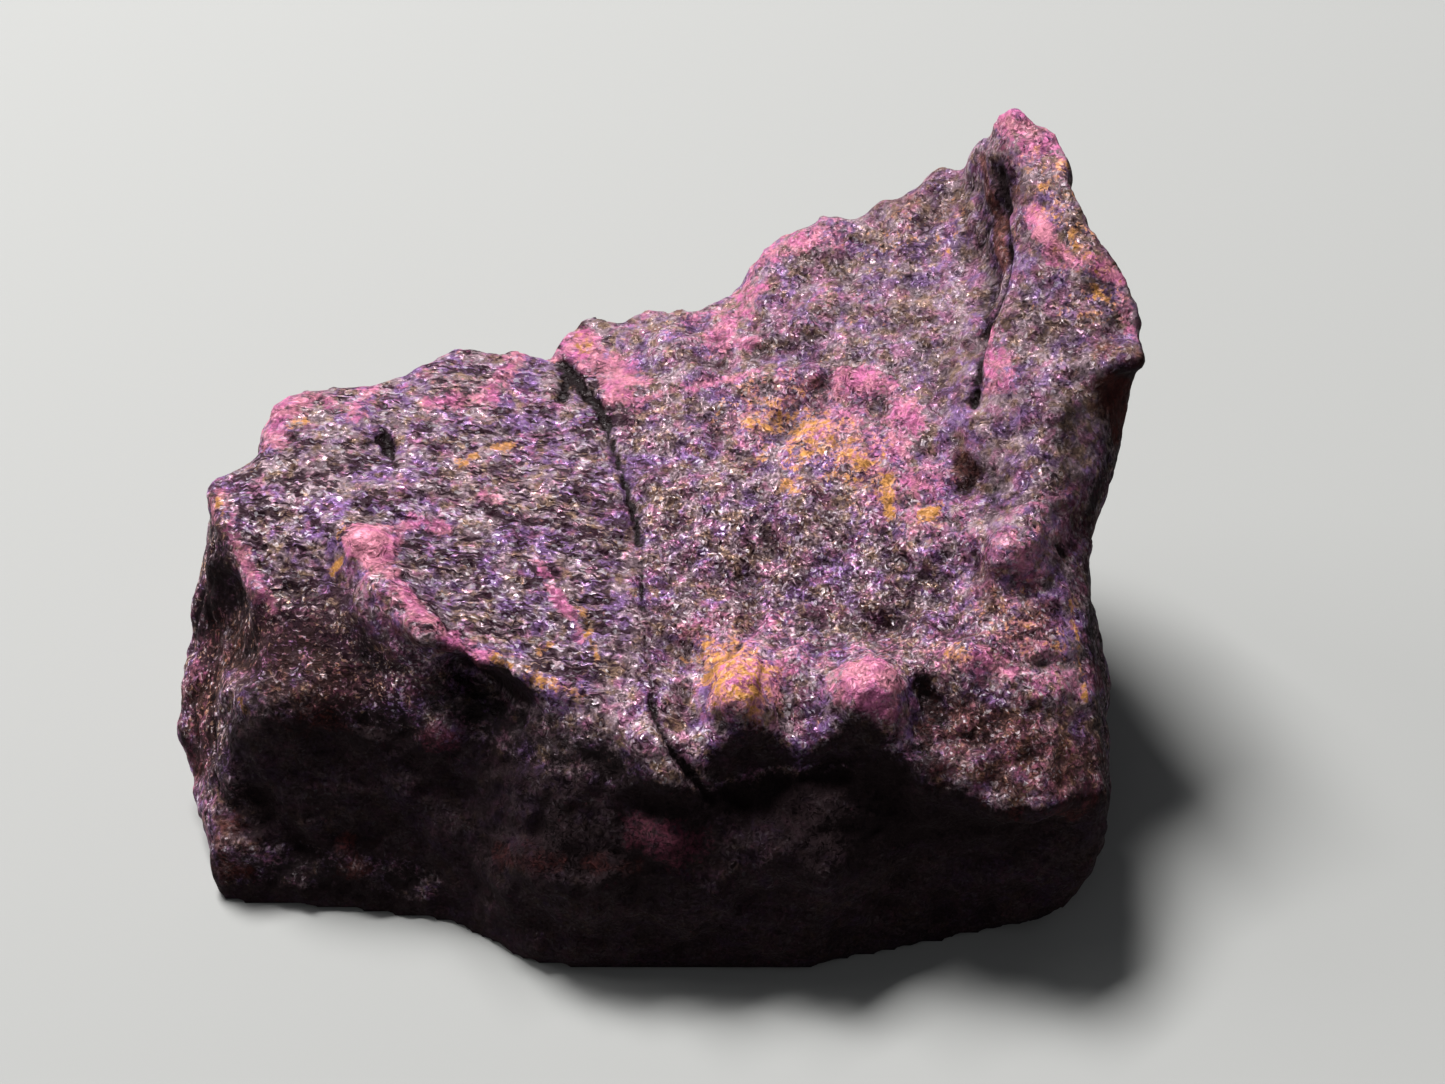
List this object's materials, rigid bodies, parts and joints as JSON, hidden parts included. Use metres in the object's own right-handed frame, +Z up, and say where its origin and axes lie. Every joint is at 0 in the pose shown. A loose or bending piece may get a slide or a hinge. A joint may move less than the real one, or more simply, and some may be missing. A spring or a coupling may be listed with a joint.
{
  "type": "purpurite specimen",
  "caption": "Broken violet-black lump of purpurite with a sloping upper face, a raised horn at one corner, a crack across the top, knobby front edge and a flat underside to rest on.",
  "frame": {"origin": "on the flat resting face, below the middle of the stone's box", "axes": "+Z up, +X along the stone's longest side towards its horn, -Y towards the viewer's side"},
  "size_m": [0.063, 0.0444, 0.0383],
  "materials": {
    "purpurite": "broken granular stone, violet-black with magenta bloom, ochre stains and glinting cleavage grains"
  },
  "bodies": {
    "root": {"purpurite_stone": "purpurite"}
  },
  "joints": []
}
